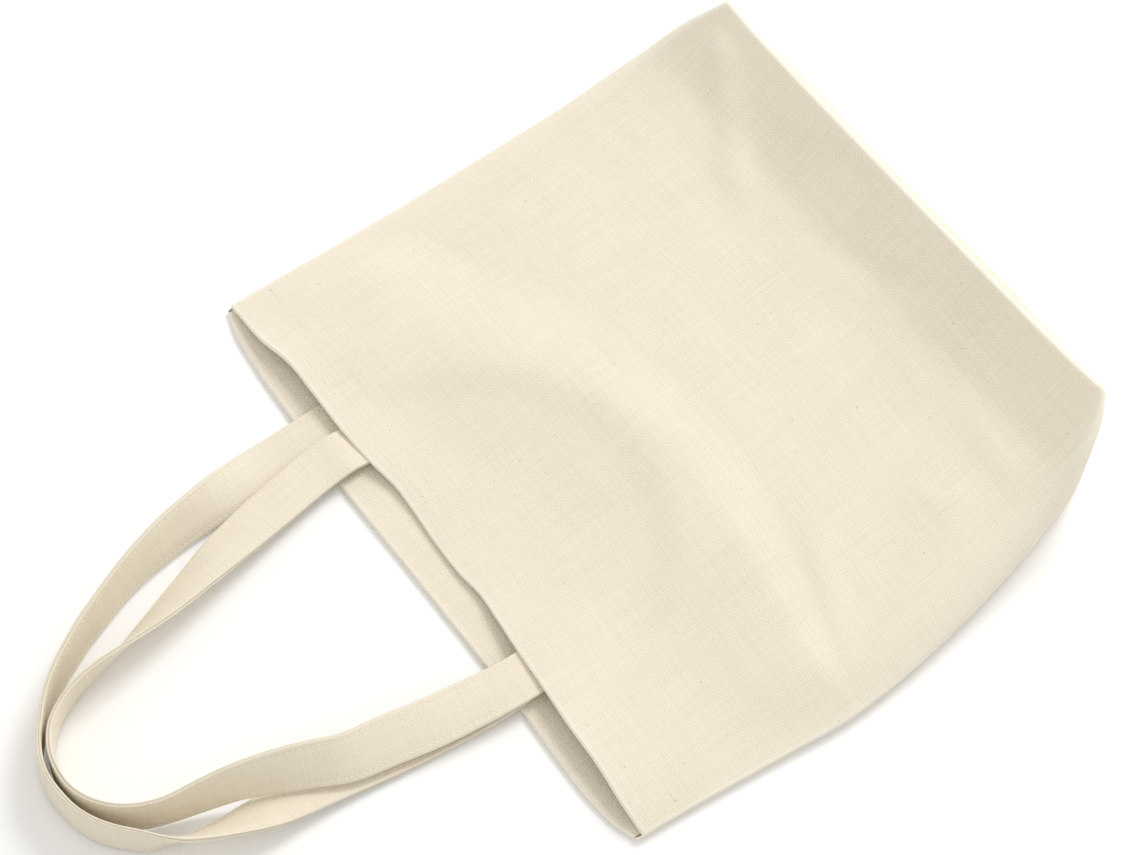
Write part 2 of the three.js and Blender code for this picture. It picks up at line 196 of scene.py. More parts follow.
def relief(x, distance):
    """The soft folds that the front panel has settled into."""
    crest = along(CREST, x)
    foot = along(FOOT, x)
    step = 1 - smooth(0, 1, (distance - crest) / (foot - crest))
    behind = smooth(-70, 0, distance - crest)
    height = 4.6 * step * behind
    radius = np.hypot(x - DISH_CENTRE[0], (distance - DISH_CENTRE[1]) * 0.96)
    dish = 1 - smooth(96, 120, radius)
    height -= 2.6 * dish * smooth(0, 60, distance)
    height += ridge(x, distance, (-152, 308), (-62, 256), 9, 1.7)
    height += ridge(x, distance, (-20, 274), (62, 296), 7, -0.5)
    height += ridge(x, distance, (-22, 296), (-4, 268), 5, 0.35)
    height += ridge(x, distance, (24, 300), (32, 272), 5, 0.35)
    height += ridge(x, distance, (160, 264), (102, 272), 10, 1.1)
    height += ridge(x, distance, (148, 236), (128, 220), 7, 0.6)
    height += ridge(x, distance, (196, 128), (112, 168), 9, 1.6)
    height += ridge(x, distance, (186, 140), (138, 206), 11, -1.0)
    height += ridge(x, distance, (12, 20), (34, 98), 9, -0.35)
    height += ridge(x, distance, (-190, 62), (-162, 16), 6, 0.5)
    return height


def front_height(x, distance):
    """Height of the middle of the front panel's cloth."""
    reach = np.where(x > 0, along(REACH_RIGHT, distance), along(REACH_LEFT, distance))
    share = np.clip(np.abs(x) / reach, 0, 1)
    edge = along(EDGE_HEIGHT, distance)
    crown = (along(MIDDLE_HEIGHT, distance) - edge) * (1 - share ** along(SQUARENESS, distance))
    gape = along(MOUTH_GAPE, x) * np.exp(-np.maximum(distance, 0) / 40)
    inside = 1 - smooth(0.82, 0.98, share)
    ends = smooth(-5, 30, distance) * (1 - smooth(300, 314, distance))
    return edge + crown + gape + relief(x, distance) * inside * ends


def front_fold(share):
    return FRONT_FOLD - FOLD_SAG * (1 - share**4)


# --- Sections across the bag -------------------------------------------------------------------------


def upper_section(sign, distance):
    """Half of the outline over the bag at one distance, from the side seam to the middle."""
    reach = along(REACH_RIGHT if sign > 0 else REACH_LEFT, distance) - HALF_CLOTH
    seam = along(SEAM_HEIGHT, distance) + SEAM_GAP
    width = along(SHOULDER, distance)
    turn = np.linspace(0, math.pi / 2, 12)[:-1]
    turn_x = reach - SEAM_TURN * (1 - np.sin(turn))
    turn_z = seam + SEAM_TURN * (1 - np.cos(turn))
    inset = np.concatenate([width * np.linspace(0, 1, 200) ** 2, np.linspace(width, reach, 160)[1:]])
    x = sign * (reach - inset)
    rise = (1 - (1 - np.clip(inset / width, 0, 1)) ** 2) ** (1 / along(FIRMNESS, distance))
    start = seam + SEAM_TURN
    z = start + (front_height(x, distance) - start) * rise
    return np.concatenate([sign * turn_x, x]), np.concatenate([turn_z, z])


def lower_section(sign, distance):
    """Half of the outline under the bag, from the side seam to the middle."""
    reach = along(REACH_RIGHT if sign > 0 else REACH_LEFT, distance) - HALF_CLOTH
    seam = along(SEAM_HEIGHT, distance) - SEAM_GAP
    width = along(FLOOR_SHOULDER, distance)
    turn = np.linspace(0, math.pi / 2, 12)[:-1]
    turn_x = reach - SEAM_TURN * (1 - np.sin(turn))
    turn_z = seam - SEAM_TURN * (1 - np.cos(turn))
    inset = np.concatenate([width * np.linspace(0, 1, 200) ** 2, np.linspace(width, reach, 100)[1:]])
    fall = (1 - (1 - np.clip(inset / width, 0, 1)) ** 2) ** (1 / along(FIRMNESS, distance))
    start = seam - SEAM_TURN
    z = start + (HALF_CLOTH - start) * fall
    return np.concatenate([sign * turn_x, sign * (reach - inset)]), np.concatenate([turn_z, z])


def spaced(x, z, columns, skip):
    """Resamples a section: a few points round the seam turn, then closer near the side than the middle."""
    lengths = np.concatenate([[0], np.cumsum(np.hypot(np.diff(x), np.diff(z)))])
    turned = SEAM_TURN * math.pi / 2
    first = np.linspace(skip, turned + skip, TURN_COLUMNS + 1)[:-1]
    rest = turned + skip + (lengths[-1] - turned - skip) * np.linspace(0, 1, columns + 1) ** 1.3
    at = np.concatenate([first, rest])
    return np.interp(at, lengths, x), np.interp(at, lengths, z), lengths[-1] - at


def section_grid(section, distances, columns, skip=0.0):
    """Sections side by side: x, height and width across, each as rows of columns from right to left."""
    rows = []
    for distance in distances:
        right = spaced(*section(1, distance), columns, skip)
        left = spaced(*section(-1, distance), columns, skip)
        x = np.concatenate([right[0], left[0][-2::-1]])
        z = np.concatenate([right[1], left[1][-2::-1]])
        wide = np.concatenate([right[2], -left[2][-2::-1]])
        rows.append((x, z, wide))
    return [np.array(part) for part in zip(*rows)]


def lay_rows(table, distances, wanted):
    """Looks up (x, distance, height, width across) where each column wants its rows."""
    x, z, wide = table
    grid = np.empty(wanted.shape + (4,))
    for k in range(wanted.shape[1]):
        grid[:, k, 0] = np.interp(wanted[:, k], distances, x[:, k])
        grid[:, k, 1] = wanted[:, k]
        grid[:, k, 2] = np.interp(wanted[:, k], distances, z[:, k])
        grid[:, k, 3] = np.interp(wanted[:, k], distances, wide[:, k])
    return grid


def grid_normals(points, outward):
    down = np.gradient(points[..., :3], axis=0)
    across = np.gradient(points[..., :3], axis=1)
    return unit(np.cross(down, across)) * outward


def turned_down(last, forward, normal, target, radius):
    """Rows that bend the cloth from its own direction round to the target direction."""
    bend = np.arctan2(-(target * normal).sum(-1), (target * forward).sum(-1))
    rows = []
    for share in np.linspace(0, 1, FOLD_ROWS + 1)[1:]:
        angle = (bend * share)[:, None]
        row = last.copy()
        row[:, :3] += radius * (np.sin(angle) * forward - (1 - np.cos(angle)) * normal)
        rows.append(row)
    return np.array(rows)


# --- Meshes of cloth --------------------------------------------------------------------------------


def into_scene(name, data):
    made = bpy.data.objects.new(name, data)
    bpy.context.scene.collection.objects.link(made)
    return made


def sheet_faces(rows, columns):
    corner = np.arange(rows * columns).reshape(rows, columns)
    quads = np.stack([corner[:-1, :-1], corner[1:, :-1], corner[1:, 1:], corner[:-1, 1:]], -1)
    return quads.reshape(-1, 4)


def rim_loop(rows, columns):
    corner = np.arange(rows * columns).reshape(rows, columns)
    return np.concatenate([corner[:-1, 0], corner[-1, :-1], corner[:0:-1, -1], corner[0, :0:-1]])


def folded_share(normals, grid):
    """How sharply the cloth turns at each point, from 0 where flat to 1 at a fold."""
    turn = np.zeros(grid.shape[:2])
    for axis in (0, 1):
        step = np.linalg.norm(np.gradient(grid[..., :3], axis=axis), axis=-1)
        change = np.linalg.norm(np.gradient(normals, axis=axis), axis=-1)
        turn = np.maximum(turn, change / np.maximum(step, 0.05))
    return np.clip(turn / 0.35, 0, 1)


def cloth_piece(name, grid, normals, size, thickness=CLOTH):
    """A closed sheet with thickness: grid holds its middle, size the true distances across and along."""
    rows, columns = grid.shape[:2]
    count = rows * columns
    offset = normals.reshape(-1, 3) * thickness / 2
    middle = grid[..., :3].reshape(-1, 3)
    points = np.concatenate([middle + offset, middle - offset])
    upper = sheet_faces(rows, columns)
    lower = upper[:, ::-1] + count
    rim = rim_loop(rows, columns)
    after = np.roll(rim, -1)
    wall = np.stack([after, rim, rim + count, after + count], -1)
    faces = np.concatenate([upper, lower, wall])
    mesh = bpy.data.meshes.new(name)
    mesh.from_pydata(to_row(points).tolist(), [], faces.tolist())
    loops = faces.reshape(-1)
    flat = size.reshape(-1, 2) / 1000
    uv = mesh.uv_layers.new(name="Cloth")
    uv.data.foreach_set("uv", flat[loops % count].astype(np.float32).ravel())
    fold = np.tile(folded_share(normals, grid).reshape(-1), 2)
    mesh.attributes.new("folded", "FLOAT", "POINT").data.foreach_set("value", fold.astype(np.float32))
    both = unit(np.concatenate([offset, -offset]))
    loop_normals = both[loops]
    wall_start = (len(upper) + len(lower)) * 4
    a, b, c = (points[wall[:, i]] for i in range(3))
    wall_normals = unit(np.cross(b - a, c - a))
    loop_normals[wall_start:] = np.repeat(wall_normals, 4, axis=0)
    mesh.shade_smooth()
    mesh.normals_split_custom_set(loop_normals.tolist())
    mesh.materials.append(CANVAS)
    return into_scene(name, mesh)


# --- Materials ---------------------------------------------------------------------------------------


def add_socket(tree, label, way, kind, value=None):
    socket = tree.interface.new_socket(label, in_out=way, socket_type=kind)
    if value is not None:
        socket.default_value = value
    return socket


class Wiring:
    """Short calls for building a shader tree."""

    def __init__(self, tree):
        self.tree = tree

    def node(self, kind, **settings):
        made = self.tree.nodes.new(kind)
        for name, value in settings.items():
            setattr(made, name, value)
        return made

    def feed(self, socket, value):
        if isinstance(value, bpy.types.NodeSocket):
            self.tree.links.new(value, socket)
        else:
            socket.default_value = value

    def math(self, operation, first, second=0.0, clamp=False):
        made = self.node("ShaderNodeMath", operation=operation, use_clamp=clamp)
        self.feed(made.inputs[0], first)
        self.feed(made.inputs[1], second)
        return made.outputs[0]

    def blend(self, share, first, second, kind="FLOAT"):
        made = self.node("ShaderNodeMix", data_type=kind)
        place = {"FLOAT": 2, "RGBA": 6}[kind]
        self.feed(made.inputs[0], share)
        self.feed(made.inputs[place], first)
        self.feed(made.inputs[place + 1], second)
        return made.outputs[{"FLOAT": 0, "RGBA": 2}[kind]]

    def noise(self, vector, scale, detail=2.0):
        made = self.node("ShaderNodeTexNoise")
        self.feed(made.inputs["Vector"], vector)
        self.feed(made.inputs["Scale"], scale)
        self.feed(made.inputs["Detail"], detail)
        return made.outputs["Fac"]


def plain_weave_group():
    """Plain weave over a flat cloth map: height of the threads, a tone that is half the threads' own colour
    and half painted shade in the gaps between them, and seed flecks.
    """
    tree = bpy.data.node_groups.new("plain_weave", "ShaderNodeTree")
    add_socket(tree, "Cloth Map", "INPUT", "NodeSocketVector")
    add_socket(tree, "Threads per Metre", "INPUT", "NodeSocketFloat", 1400.0)
    add_socket(tree, "Wander", "INPUT", "NodeSocketFloat", 0.35)
    add_socket(tree, "Slub Contrast", "INPUT", "NodeSocketFloat", 0.6)
    add_socket(tree, "Fleck Share", "INPUT", "NodeSocketFloat", 0.12)
    for label in ("Height", "Tone_And_Gap_Shade", "Fleck"):
        add_socket(tree, label, "OUTPUT", "NodeSocketFloat")
    w = Wiring(tree)
    given = w.node("NodeGroupInput").outputs
    parts = w.node("ShaderNodeSeparateXYZ")
    w.feed(parts.inputs[0], given["Cloth Map"])
    wander = w.noise(given["Cloth Map"], 260.0)
    wander = w.math("MULTIPLY", w.math("SUBTRACT", wander, 0.5), given["Wander"])
    warp = w.math("ADD", w.math("MULTIPLY", parts.outputs[0], given["Threads per Metre"]), wander)
    weft = w.math("SUBTRACT", w.math("MULTIPLY", parts.outputs[1], given["Threads per Metre"]), wander)
    warp_wave = w.math("SINE", w.math("MULTIPLY", warp, math.pi))
    weft_wave = w.math("SINE", w.math("MULTIPLY", weft, math.pi))
    crossing = w.math("MULTIPLY", warp_wave, weft_wave)
    pillow = w.math("POWER", w.math("ABSOLUTE", crossing), 0.6)
    over = w.math("MULTIPLY_ADD", crossing, 3.0, clamp=True)
    over.node.inputs[2].default_value = 0.5
    tones = []
    for stretch in ((1.0, 0.03, 1.0), (0.03, 1.0, 1.0)):
        scaled = w.node("ShaderNodeVectorMath", operation="MULTIPLY")
        w.feed(scaled.inputs[0], given["Cloth Map"])
        scaled.inputs[1].default_value = stretch
        tones.append(w.noise(scaled.outputs[0], w.math("MULTIPLY", given["Threads per Metre"], 0.7), 1.0))
    thread_tone = w.blend(over, tones[1], tones[0])
    lift = w.math("MULTIPLY", w.math("SUBTRACT", thread_tone, 0.5), given["Slub Contrast"])
    height = w.math("ADD", w.math("MULTIPLY", pillow, 0.7), lift)
    # Half painted shade, low where the weave dips between threads, and half the threads' own tone.
    tone_and_gap_shade = w.math("ADD", w.math("MULTIPLY", pillow, 0.5), w.math("MULTIPLY", thread_tone, 0.5))
    seeds = w.node("ShaderNodeTexVoronoi", voronoi_dimensions="2D")
    w.feed(seeds.inputs["Vector"], given["Cloth Map"])
    seeds.inputs["Scale"].default_value = 70.0
    near = w.math("LESS_THAN", seeds.outputs["Distance"], 0.024)
    split = w.node("ShaderNodeSeparateColor")
    w.feed(split.inputs[0], seeds.outputs["Color"])
    chosen = w.math("LESS_THAN", split.outputs[0], given["Fleck Share"])
    result = w.node("NodeGroupOutput")
    w.feed(result.inputs["Height"], height)
    w.feed(result.inputs["Tone_And_Gap_Shade"], tone_and_gap_shade)
    w.feed(result.inputs["Fleck"], w.math("MULTIPLY", near, chosen))
    return tree


WEAVE = plain_weave_group()
WORN_CANVAS = (0.95, 0.91, 0.82, 1)
SEED_FLECK = (0.36, 0.25, 0.13, 1)
FLECK_DEPTH = 0.6
THREAD_DARK = (0.80, 0.72, 0.56, 1)
THREAD_LIGHT = (0.90, 0.84, 0.70, 1)


def canvas_material(name, pale_thread_and_lit_crest, dark_thread_and_gap_shade, threads, bump, wear):
    """Natural cotton canvas: its paler and darker colours are the threads' own tones and, mixed by the
    weave, also a painted highlight on thread crests and painted shade in the gaps between threads; threads
    is their number per metre.
    """
    material = bpy.data.materials.new(name)
    material.use_nodes = True
    w = Wiring(material.node_tree)
    surface = material.node_tree.nodes["Principled BSDF"]
    cloth_map = w.node("ShaderNodeUVMap", uv_map="Cloth").outputs[0]
    weave = w.node("ShaderNodeGroup", node_tree=WEAVE)
    w.feed(weave.inputs["Cloth Map"], cloth_map)
    weave.inputs["Threads per Metre"].default_value = threads
    # Painted shade and highlight: the gaps between threads take the darker colour, the thread crests the
    # paler one.
    colour = w.blend(weave.outputs["Tone_And_Gap_Shade"], dark_thread_and_gap_shade, pale_thread_and_lit_crest, "RGBA")
    mottle = w.math("MULTIPLY", w.noise(cloth_map, 22.0, 3.0), 0.5, clamp=True)
    colour = w.blend(mottle, colour, tuple(c * 0.94 for c in pale_thread_and_lit_crest[:3]) + (1,), "RGBA")
    folded = w.node("ShaderNodeAttribute", attribute_name="folded").outputs["Fac"]
    worn = w.math("MULTIPLY", folded, wear, clamp=True)
    colour = w.blend(worn, colour, WORN_CANVAS, "RGBA")
    fleck = w.math("MULTIPLY", weave.outputs["Fleck"], FLECK_DEPTH)
    colour = w.blend(fleck, colour, SEED_FLECK, "RGBA")
    w.feed(surface.inputs["Base Color"], colour)
    roughness = w.math("MULTIPLY_ADD", weave.outputs["Tone_And_Gap_Shade"], -0.12)
    roughness.node.inputs[2].default_value = 0.95
    w.feed(surface.inputs["Roughness"], roughness)
    surface.inputs["Sheen Weight"].default_value = 0.22
    surface.inputs["Sheen Roughness"].default_value = 0.45
    surface.inputs["Sheen Tint"].default_value = (1.0, 0.97, 0.9, 1)
    surface.inputs["Specular IOR Level"].default_value = 0.2
    relief_bump = w.node("ShaderNodeBump")
    relief_bump.inputs["Strength"].default_value = 1.0
    relief_bump.inputs["Distance"].default_value = bump
    w.feed(relief_bump.inputs["Height"], weave.outputs["Height"])
    w.feed(surface.inputs["Normal"], relief_bump.outputs[0])
    return material


def thread_material():
    """Twisted cotton sewing thread."""
    material = bpy.data.materials.new("cotton_thread")
    material.use_nodes = True
    w = Wiring(material.node_tree)
    surface = material.node_tree.nodes["Principled BSDF"]
    place = w.node("ShaderNodeTexCoord").outputs["Object"]
    fuzz = w.noise(place, 2600.0, 1.0)
    w.feed(surface.inputs["Base Color"], w.blend(fuzz, THREAD_DARK, THREAD_LIGHT, "RGBA"))
    surface.inputs["Roughness"].default_value = 0.7
    surface.inputs["Sheen Weight"].default_value = 0.2
    twist = w.node("ShaderNodeBump")
    twist.inputs["Strength"].default_value = 0.6
    twist.inputs["Distance"].default_value = 0.00008
    w.feed(twist.inputs["Height"], fuzz)
    w.feed(surface.inputs["Normal"], twist.outputs[0])
    return material


# The darker colour of each canvas is partly painted shade for the gaps of the weave, the paler one partly a
# painted highlight on the thread crests.
CANVAS = canvas_material(
    "natural_canvas",
    pale_thread_and_lit_crest=(0.945, 0.88, 0.75, 1),
    dark_thread_and_gap_shade=(0.585, 0.518, 0.388, 1),
    threads=820,
    bump=0.00022,
    wear=0.5,
)
STRAP_CANVAS = canvas_material(
    "strap_canvas",
    pale_thread_and_lit_crest=(0.945, 0.875, 0.74, 1),
    dark_thread_and_gap_shade=(0.585, 0.512, 0.38, 1),
    threads=900,
    bump=0.0002,
    wear=0.4,
)
THREAD = thread_material()

# --- Bag ---------------------------------------------------------------------------------------------

DISTANCES = np.linspace(-12, 322, 669)  # where sections across the bag are worked out
MOUTH_ROW = 24  # the one of them that lies on the mouth line
CLOSER_ROWS = 0.06  # how much closer the cloth's rows lie near the mouth and the fold


def with_hem_grid(upper):
    section = upper_section if upper else lower_section
    table = section_grid(section, DISTANCES, COLUMNS)
    near = DISTANCES[DISTANCES < HEM_REACH]
    inset = section_grid(section, near, COLUMNS, HEM_SIDE_INSET)
    return table, inset, near


def hem_and_panel(upper):
    """The cloth of one side of the bag, from its hem's inner edge to the end of its fold."""
    table, inset, near = with_hem_grid(upper)
    outward = 1 if upper else -1
    share = np.abs(table[2][0]) / np.abs(table[2][0]).max()
    even = np.linspace(0, 1, ROWS + 1)
    even = even - CLOSER_ROWS * np.sin(2 * np.pi * even)
    mouth_line = along(FRONT_MOUTH if upper else BACK_MOUTH, table[0][MOUTH_ROW])
    fold_line = front_fold(share) if upper else BACK_FOLD - BACK_FOLD_INSET + 0 * share
    outer = lay_rows(table, DISTANCES, mouth_line + np.outer(even, fold_line - mouth_line))
    normals = grid_normals(outer, outward)
    hem_steps = np.linspace(HEM_DEPTH, 0, HEM_ROWS + 1)
    inner = lay_rows(inset, near, mouth_line + hem_steps[:, None])
    inner[..., :3] -= HEM_DROP * grid_normals(inner[::-1], outward)[::-1]
    forward = unit(outer[0, :, :3] - outer[1, :, :3])
    edge = inner[-1, :, :3] + normals[0] * HEM_DROP
    turned = []
    for angle in np.linspace(math.pi, 0, FOLD_ROWS + 1)[1:-1]:
        row = outer[0].copy()
        row[:, :3] = edge * angle / math.pi + outer[0, :, :3] * (1 - angle / math.pi)
        row[:, :3] += HEM_DROP / 2 * (normals[0] * (math.cos(angle) - 1) + forward * math.sin(angle))
        turned.append(row)
    last = outer[-1]
    heading = unit(outer[-1, :, :3] - outer[-2, :, :3])
    sideways = np.abs(normals[-1][:, 0:1]) ** 2
    sign = np.sign(last[:, 0:1])
    wall_way = belly_way(bottom_share(last[:, 0])) * (1, 1, outward)
    seam_way = np.concatenate([-sign, 0 * sign, 0 * sign], 1)
    target = unit(unit(wall_way) * (1 - sideways) + seam_way * sideways)
    end = turned_down(last, heading, normals[-1], target, FOLD_TURN)
    grid = np.concatenate([inner, np.array(turned), outer, end])
    all_normals = grid_normals(grid, outward)
    along_cloth = np.linalg.norm(np.diff(grid[:, :, :3], axis=0), axis=-1)
    run = np.concatenate([np.zeros((1, grid.shape[1])), np.cumsum(along_cloth, axis=0)])
    size = np.stack([grid[..., 3], run], -1)
    return grid, all_normals, size


def clothed(name, grid, normals, size, columns):
    part = cloth_piece(name, grid[:, columns], normals[:, columns], size[:, columns])
    return part


def open_with_mouth(piece):
    """Bakes the piece's placement into its mesh."""
    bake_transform(piece)


def build_bag():
    grid, normals, size = hem_and_panel(True)
    middle = grid.shape[1] // 2
    right = clothed("front_cloth_right", grid, normals, size, slice(0, middle + 1))
    open_with_mouth(right)
    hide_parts("front_panel", "right_gusset")
    left = clothed("front_cloth_left", grid, normals, size, slice(middle, None))
    open_with_mouth(left)
    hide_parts("front_mouth_hem", "left_gusset")
    fold = grid[-1]
    grid, normals, size = hem_and_panel(False)
    back = clothed("back_cloth", grid[:, ::-1], normals[:, ::-1], size[:, ::-1], slice(None))
    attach(back, "bag")
    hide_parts("back_panel", "back_mouth_hem")
    build_bottom(fold, grid[-1])
    return fold, grid[-1]


# --- Bottom -------------------------------------------------------------------------------------------


def bottom_share(x):
    """Place across the bottom: -1 at its left corner, 1 at its right."""
    return np.clip(2 * (x + BOTTOM_LEFT) / (BOTTOM_LEFT + BOTTOM_RIGHT) - 1, -1, 1)


def belly_way(share):
    """Direction in which the bottom leaves the front fold: down, and outward where it swells."""
    swell = math.pi * BELLY_RISE * BELLY * (1 - np.abs(share) ** BELLY_SPREAD)
    return np.stack([0 * swell, swell + WALL_LEAN, 0 * swell - (DEPTH - FOLD_ALLOWANCE)], -1)


def belly_out(share, up):
    """How far the bottom swells outward; it hangs fullest above its middle."""
    return BELLY * (1 - np.abs(share) ** BELLY_SPREAD) * np.sin(np.pi * up**BELLY_RISE)


# A soft rise and a hollow in the bottom: centre as (x, height), spread and lift.
BOTTOM_RELIEF = [((60, 50), (40, 12), 0.8), ((-70, 46), (34, 14), -0.9)]


def line_at(line, x):
    """Distance and height of a fold at each x."""
    order = np.argsort(line[:, 0])
    return [np.interp(x, line[order, 0], line[order, i]) for i in (1, 2)]


def facing_out(grid, normals):
    """1 where the middle of the standing bottom faces outward, -1 where it faces into the bag."""
    return np.sign(normals[grid.shape[0] // 2, grid.shape[1] // 2, 1])


def wall_grid(top_line, floor_line, low, high, rows):
    """The standing bottom between two shares of its height; 0 is the back fold, 1 the front fold."""
    inset = HALF_CLOTH + SEAM_TURN
    x = np.linspace(BOTTOM_RIGHT - inset, inset - BOTTOM_LEFT, WALL_COLUMNS)
    share = bottom_share(x)
    top_distance, top_height = line_at(top_line, x)
    low_distance, low_height = line_at(floor_line, x)
    up = np.linspace(low, high, rows)[:, None]
    distance = low_distance + (top_distance - low_distance) * up + belly_out(share, up)
    for centre, spread, lift in BOTTOM_RELIEF:
        distance = distance + mound(x, up * DEPTH, centre, spread, lift)
    height = low_height + (top_height - low_height) * up
    wider = 1 + CORNER_FULLNESS / BOTTOM_RIGHT * smooth(*FULL_CORNER, up)
    return np.stack([x * wider + 0 * distance, distance, height, x + 0 * distance], -1)


def tuck(grid, normals, radius):
    """Adds rows past the last one that turn the cloth's edge inward by a quarter turn."""
    heading = unit(grid[-1, :, :3] - grid[-2, :, :3])
    rows = turned_down(grid[-1], heading, normals[-1], -normals[-1], radius)
    return np.concatenate([grid, rows])


def tuck_sides(grid, normals, radius):
    """Turns both side edges of a panel inward by a quarter turn."""
    for _ in range(2):
        grid = tuck(grid.swapaxes(0, 1), normals.swapaxes(0, 1), radius).swapaxes(0, 1)[:, ::-1]
        normals = grid_normals(grid, 1)
        normals = normals * facing_out(grid, normals)
    return grid


def run_down(grid):
    """How far each point lies from the first row, measured along the cloth."""
    steps = np.diff(grid[..., :3], axis=0, prepend=grid[:1, :, :3])
    return np.linalg.norm(steps, axis=-1).cumsum(0)


def wall_piece(name, grid):
    normals = grid_normals(grid, 1)
    normals = normals * facing_out(grid, normals)
    grid = tuck_sides(grid, normals, SEAM_TURN)
    normals = grid_normals(grid, 1)
    if facing_out(grid, normals) < 0:
        grid = grid[:, ::-1]
        normals = grid_normals(grid, 1)
    size = np.stack([grid[..., 3], FRONT_FOLD + run_down(grid)], -1)
    return clothed(name, grid, normals, size, slice(None))


def build_bottom(top_line, floor_line):
    """Two halves of the bottom, one below and one above the seam across its middle."""
    seam = corners("bottom_seam")
    middle = (seam[0][2] + seam[1][2]) / 2 / DEPTH
    turn = SEAM_TURN / DEPTH
    lower = wall_grid(top_line, floor_line, 0, middle - turn, WALL_ROWS)
    upper = wall_grid(top_line, floor_line, middle + turn, 1, WALL_ROWS)[::-1]
    for name, grid in (("bottom_lower_cloth", lower), ("bottom_upper_cloth", upper)):
        normals = grid_normals(grid, 1)
        piece = wall_piece(name, tuck(grid, normals * facing_out(grid, normals), SEAM_TURN))
        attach(piece, "bag")
        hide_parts("bottom_gusset")


BOTTOM_LINES = build_bag()

# --- Handles ------------------------------------------------------------------------------------------

STRAP_PROFILE = [
    (12.95, 0.55), (12.7, 1.02), (11.9, 1.34), (10.8, 1.33), (10.0, 1.18), (9.2, 1.33), (7.2, 1.46),
    (3.6, 1.5), (0.0, 1.46), (-3.6, 1.5), (-7.2, 1.46), (-9.2, 1.33), (-10.0, 1.18), (-10.8, 1.33),
    (-11.9, 1.34), (-12.7, 1.02), (-12.95, 0.55), (-12.75, 0.18), (-12.2, 0.0),
]
ROW_PLACE = 10.0  # from a strap's middle to each row of stitches
ROW_HEIGHT = 1.22  # from the middle of the strap's thickness to the thread
STRAP_HALF = 1.5  # half of a strap's thickness
STRAP_STEP = 2.0  # between sections along a strap
UNDER_HEM = 4.1  # from the front panel down to the middle of a sewn end
ON_HEM = 4.45  # from the floor to the middle of a back handle's sewn end


def handle_path(legs, start, points):
    """A strap's centre line as x, distance, height and tilt: one sewn end, the loop, the other end."""
    return np.array(start(legs[0])[::-1] + points + start(legs[1]), float)


def front_end(x):
    """The sewn end under the front hem, from the mouth inward."""
    return [(x, at, front_height(np.array(x), np.array(at)) - UNDER_HEM, 0) for at in (12, 26, 42)]


def back_end(x):
    return [(x, at, ON_HEM, 0) for at in (-4, 10, 26)]


FRONT_LEG_X = (middle_x("front_handle_left_end"), middle_x("front_handle_right_end"))
BACK_LEG_X = (middle_x("back_handle_left_end"), middle_x("back_handle_right_end"))
FRONT_LOOP = [
    (-74, 0, 8.5, 0), (-73.5, -14, 7.6, 0), (-69.5, -40, 7.6, 2), (-64.5, -66, 8.4, 8),
    (-60.5, -84, 9.2, 17), (-56, -100, 9.8, 29), (-50.5, -120, 10.9, 41), (-46, -138, 12.2, 54),
    (-42.5, -154, 13.4, 67), (-40, -168, 14, 76), (-36.5, -183, 14.2, 80), (-31, -195, 14.2, 82),
    (-23.5, -204.2, 14.2, 84), (-13, -210.8, 14.2, 84), (0, -213.8, 14.2, 84), (12, -213.3, 14.2, 84),
    (22.5, -209.2, 14.2, 84), (32, -202, 14.2, 84), (40.5, -190.5, 14.4, 84), (45, -179, 14.6, 84),
    (49, -163, 16, 78), (54, -145, 18.3, 70), (60, -128, 18.4, 60), (67, -111, 17.8, 50),
    (74, -95, 16.6, 42), (78, -71, 13.6, 30), (81.5, -50, 11.2, 18), (84.5, -27, 9.8, 8),
    (87, -2, 8.8, 0),
]
BACK_LOOP = [
    (-94.5, -12, 4.1, 0), (-93.5, -36, 3.8, -8), (-90.5, -56, 7.5, -28), (-88, -71, 11, -46),
    (-86, -85, 12.3, -56), (-83.8, -99, 13.1, -63), (-80.5, -113, 13.8, -70), (-75.8, -129, 14.2, -77),
    (-71.2, -141, 14.3, -80), (-66, -153, 14.3, -82), (-60.5, -165, 14.3, -84),
    (-54, -176.5, 14.2, -86), (-48.8, -185, 14.2, -88), (-42.8, -193, 14.2, -90),
    (-36.5, -199.7, 14.2, -92), (-29.3, -206, 14.2, -95), (-18.5, -214, 14.3, -98),
    (-3, -219.4, 14.3, -98), (11, -219, 14.3, -97), (24, -216.3, 14.3, -96), (34.4, -211.4, 14.3, -95),
    (43.5, -204.5, 14.3, -93), (51.5, -196.5, 14.3, -90), (57.5, -188, 14.2, -77),
    (62.5, -179.5, 13.6, -66), (66.3, -169, 12.4, -56), (69, -157, 10.7, -44), (70.8, -145, 8.3, -31),
    (72, -132, 5.8, -19), (72.8, -120, 4.3, -12), (74, -108, 3.5, -8), (76.5, -90, 2.8, -4),
    (79.7, -70, 2.4, -2), (82.3, -50, 2.2, 0), (84.3, -32, 2.4, 0), (86, -12, 4.1, 0),
]


def strap_frames(path, step):
    """Evenly spaced points on a strap with the directions forward, inward and up from its face.
    A positive tilt raises the inner edge of the loop, a negative one its outer edge."""
    chord = np.linalg.norm(np.diff(path[:, :3], axis=0), axis=1)
    knots = np.concatenate([[0], np.cumsum(chord)])
    fine = np.linspace(0, knots[-1], 4000)
    line = np.stack([along(np.stack([knots, path[:, i]], 1), fine) for i in range(4)], 1)
    run = np.concatenate([[0], np.cumsum(np.linalg.norm(np.diff(line[:, :3], axis=0), axis=1))])
    at = np.linspace(0, run[-1], round(run[-1] / step) + 1)
    even = np.stack([np.interp(at, run, line[:, i]) for i in range(4)], 1)
    forward = unit(np.gradient(even[:, :3], axis=0))
    level = unit(np.cross((0, 0, 1), forward))
    lift = np.cross(forward, level)
    tilt = np.radians(even[:, 3:4])
    inward = unit(level * np.cos(tilt) + lift * np.sin(tilt))
    return even[:, :3], forward, inward, unit(np.cross(forward, inward)), at


